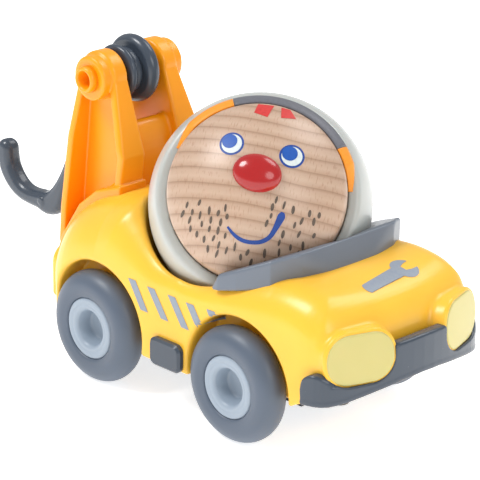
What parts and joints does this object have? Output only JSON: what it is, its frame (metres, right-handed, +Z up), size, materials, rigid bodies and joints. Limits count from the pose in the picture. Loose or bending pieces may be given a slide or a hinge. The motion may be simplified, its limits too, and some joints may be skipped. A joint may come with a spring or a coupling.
{
  "type": "toy tow truck",
  "caption": "Chunky toy tow truck with a turning ball-headed driver, friction motor, two-arm crane, free pulley and swinging tow hook.",
  "frame": {"origin": "middle of the outline on the floor, hook included", "axes": "+X out of the nose, +Y to the truck's left, +Z up"},
  "size_m": [0.1266, 0.048, 0.0668],
  "materials": {
    "body_yellow": "smooth moulded plastic",
    "plastic_dark_grey": "fine satin plastic",
    "plastic_light_grey": "fine satin plastic",
    "lens_yellow": "smooth plastic",
    "crane_amber": "smooth moulded plastic",
    "plastic_black": "satin plastic",
    "steel": "turned steel",
    "hub_grey": "satin plastic",
    "tyre_grey": "smooth rubber",
    "gear_nylon": "natural nylon",
    "shell_white": "satin plastic",
    "beech": "clear varnished beech",
    "nose_red": "gloss",
    "cap_grey": "satin print"
  },
  "bodies": {
    "truck": {"body_shell": "body_yellow", "chassis": "plastic_dark_grey", "front_bumper": "plastic_dark_grey", "windscreen_frame": "plastic_light_grey", "headlight_lens_right": "lens_yellow", "headlight_lens_left": "lens_yellow", "crane_frame": "crane_amber", "pulley_axle": "crane_amber", "motor_case_right": "plastic_black", "motor_case_left": "plastic_black", "chassis_screws": "steel", "motor_screws": "steel", "nose_glide": "plastic_black"},
    "front_wheels": {"front_axle": "steel", "front_hub_right": "hub_grey", "front_hub_left": "hub_grey", "front_tyre_right": "tyre_grey", "front_tyre_left": "tyre_grey"},
    "rear_wheels": {"rear_axle": "steel", "rear_hub_right": "hub_grey", "rear_hub_left": "hub_grey", "rear_tyre_right": "tyre_grey", "rear_tyre_left": "tyre_grey", "axle_gear": "gear_nylon"},
    "idler": {"idler_gear": "gear_nylon"},
    "flywheel": {"flywheel": "steel"},
    "neck": {"neck_stem": "plastic_black"},
    "head": {"head_shell": "shell_white", "wooden_face": "beech", "face_nose": "nose_red", "cap_band": "cap_grey", "nod_pin": "steel"},
    "pulley": {"pulley_drum": "plastic_dark_grey", "pulley_flange": "plastic_dark_grey"},
    "hook": {"tow_hook": "plastic_dark_grey"}
  },
  "joints": [
    {"name": "front_axle_spin", "type": "hinge", "parent": "truck", "child": "front_wheels", "pos_m": [0.0334, 0, 0.0119], "axis": [0, 1, 0], "continuous": true},
    {"name": "rear_axle_spin", "type": "hinge", "parent": "truck", "child": "rear_wheels", "pos_m": [-0.0072, 0, 0.0119], "axis": [0, 1, 0], "continuous": true},
    {"name": "idler_spin", "type": "hinge", "parent": "truck", "child": "idler", "pos_m": [-0.0149, 0, 0.0144], "axis": [0, 1, 0], "continuous": true},
    {"name": "flywheel_spin", "type": "hinge", "parent": "truck", "child": "flywheel", "pos_m": [-0.0182, 0, 0.0218], "axis": [0, 1, 0], "continuous": true},
    {"name": "head_turn", "type": "hinge", "parent": "truck", "child": "neck", "pos_m": [0.0183, 0, 0.015], "axis": [0, 0, 1], "continuous": true},
    {"name": "head_nod", "type": "hinge", "parent": "neck", "child": "head", "pos_m": [0.0183, 0, 0.04], "axis": [0.7547, 0.6561, 0], "range_deg": [-12, 26]},
    {"name": "pulley_spin", "type": "hinge", "parent": "truck", "child": "pulley", "pos_m": [-0.0209, 0, 0.0596], "axis": [0, 1, 0], "continuous": true},
    {"name": "hook_swing", "type": "hinge", "parent": "truck", "child": "hook", "pos_m": [-0.0209, 0, 0.0596], "axis": [0, 1, 0], "range_deg": [-12, 75]}
  ],
  "couplings": [
    {"joint": "idler_spin", "follows": "rear_axle_spin", "ratio": -2},
    {"joint": "flywheel_spin", "follows": "rear_axle_spin", "ratio": 4}
  ]
}
